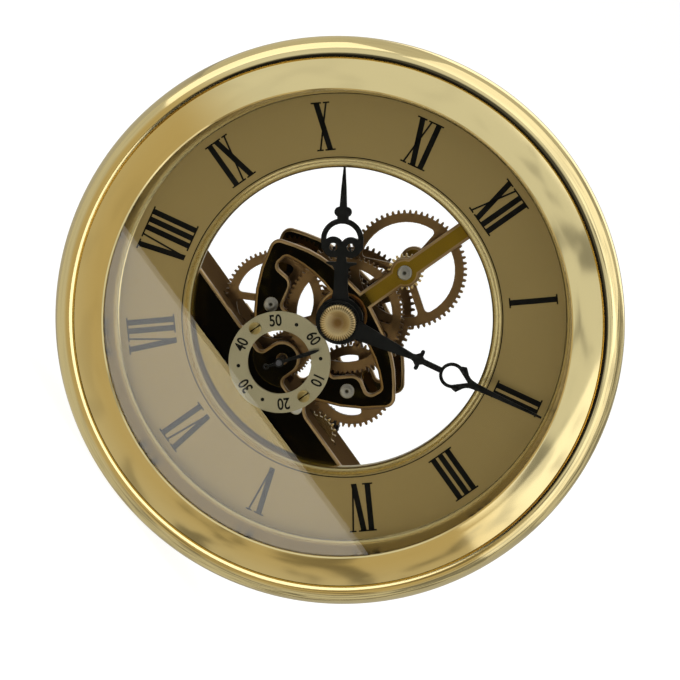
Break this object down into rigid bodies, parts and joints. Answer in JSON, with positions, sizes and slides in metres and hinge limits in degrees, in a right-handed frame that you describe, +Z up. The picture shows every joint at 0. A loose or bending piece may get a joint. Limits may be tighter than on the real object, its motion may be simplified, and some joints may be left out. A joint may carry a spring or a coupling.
{
  "type": "clock insert",
  "caption": "Round gold skeleton clock insert with a Roman dial ring under glass, an open gear train, black hands and a small seconds ring, for a hole in a stand or case.",
  "frame": {"origin": "centre of the clock at the bezel's rear face", "axes": "-Y is the front, towards the viewer; +Y goes through the barrel to the rear; +Z is up towards twelve o'clock; +X is towards three o'clock"},
  "size_m": [0.15, 0.0538, 0.15],
  "materials": {
    "polished_gold": "polished gold plating",
    "satin_gold": "satin gold",
    "pale_gold": "satin pale gold",
    "gilt_plate": "polished dark gilt",
    "clear_glass": "clear flat mineral glass",
    "dark_plastic": "moulded dark plastic",
    "steel": "bright steel",
    "magnet": "sintered magnet",
    "brass": "turned brass",
    "copper_wheel": "copper-toned brass",
    "hand_black": "black paint",
    "copper_wire": "enamelled copper wire",
    "board_green": "solder mask",
    "cell_jacket": "printed metal jacket, plain"
  },
  "bodies": {
    "root": {"bezel": "polished_gold", "lens": "clear_glass", "rehaut_ring": "polished_gold", "dial": "satin_gold", "dial_bead": "polished_gold", "carrier_ring": "dark_plastic", "carrier_screws": "steel", "barrel": "polished_gold", "front_plate": "gilt_plate", "rear_plate": "gilt_plate", "base_housing": "dark_plastic", "housing_screws": "steel", "axle_screws": "steel", "axle_spacers": "brass", "axle_nuts": "steel", "seconds_ring": "pale_gold", "ring_posts": "brass", "ring_screws": "brass", "motor_bridge": "brass", "stator": "steel", "coil_core": "steel", "coil_winding": "copper_wire", "circuit_board": "board_green", "battery": "cell_jacket", "battery_contacts": "steel"},
    "minute_work": {"centre_arbor": "steel", "cannon_pinion": "brass", "setting_gear": "copper_wheel", "friction_spring": "brass", "minute_hand": "hand_black", "hand_nut": "polished_gold"},
    "hour_work": {"hour_wheel": "copper_wheel", "hour_pipe": "brass", "hour_hand": "hand_black"},
    "motion_work": {"minute_wheel": "copper_wheel", "minute_pinion": "brass"},
    "idler_work": {"setting_idler": "copper_wheel"},
    "stem_work": {"setting_stem": "steel", "stem_pinion": "brass", "setting_knob": "dark_plastic"},
    "seconds_work": {"seconds_arbor": "steel", "seconds_pinion": "brass", "seconds_wheel": "copper_wheel", "seconds_hand": "hand_black"},
    "third_work": {"third_wheel": "copper_wheel", "third_pinion": "brass"},
    "centre_work": {"centre_wheel": "copper_wheel"},
    "intermediate_work": {"intermediate_wheel": "copper_wheel", "intermediate_pinion": "steel"},
    "rotor_work": {"rotor_magnet": "magnet", "rotor_pinion": "steel"}
  },
  "joints": [
    {"name": "minute_turn", "type": "hinge", "parent": "root", "child": "minute_work", "pos_m": [0, 0, 0], "axis": [0, 1, 0], "continuous": true},
    {"name": "hour_turn", "type": "hinge", "parent": "root", "child": "hour_work", "pos_m": [0, 0, 0], "axis": [0, 1, 0], "continuous": true},
    {"name": "motion_turn", "type": "hinge", "parent": "root", "child": "motion_work", "pos_m": [0, 0, 0.02], "axis": [0, 1, 0], "continuous": true},
    {"name": "idler_turn", "type": "hinge", "parent": "root", "child": "idler_work", "pos_m": [0.01683, 0, -0.0108], "axis": [0, 1, 0], "continuous": true},
    {"name": "stem_turn", "type": "hinge", "parent": "root", "child": "stem_work", "pos_m": [0.02165, 0, -0.02658], "axis": [0, 1, 0], "continuous": true},
    {"name": "seconds_turn", "type": "hinge", "parent": "root", "child": "seconds_work", "pos_m": [0, 0, -0.02], "axis": [0, 1, 0], "continuous": true},
    {"name": "third_turn", "type": "hinge", "parent": "root", "child": "third_work", "pos_m": [-0.0135, 0, -0.0139], "axis": [0, 1, 0], "continuous": true},
    {"name": "centre_turn", "type": "hinge", "parent": "root", "child": "centre_work", "pos_m": [0, 0, 0], "axis": [0, 1, 0], "continuous": true},
    {"name": "intermediate_turn", "type": "hinge", "parent": "root", "child": "intermediate_work", "pos_m": [0, 0, -0.02714], "axis": [0, 1, 0], "continuous": true},
    {"name": "rotor_turn", "type": "hinge", "parent": "root", "child": "rotor_work", "pos_m": [0.00612, 0, -0.02961], "axis": [0, 1, 0], "continuous": true}
  ],
  "couplings": [
    {"joint": "hour_turn", "follows": "minute_turn", "ratio": 0.083333},
    {"joint": "motion_turn", "follows": "minute_turn", "ratio": -0.28571},
    {"joint": "idler_turn", "follows": "minute_turn", "ratio": -0.81818},
    {"joint": "stem_turn", "follows": "minute_turn", "ratio": 1.6364},
    {"joint": "third_turn", "follows": "seconds_turn", "ratio": -0.13333},
    {"joint": "centre_turn", "follows": "seconds_turn", "ratio": 0.016667},
    {"joint": "intermediate_turn", "follows": "seconds_turn", "ratio": -5},
    {"joint": "rotor_turn", "follows": "seconds_turn", "ratio": 30}
  ]
}
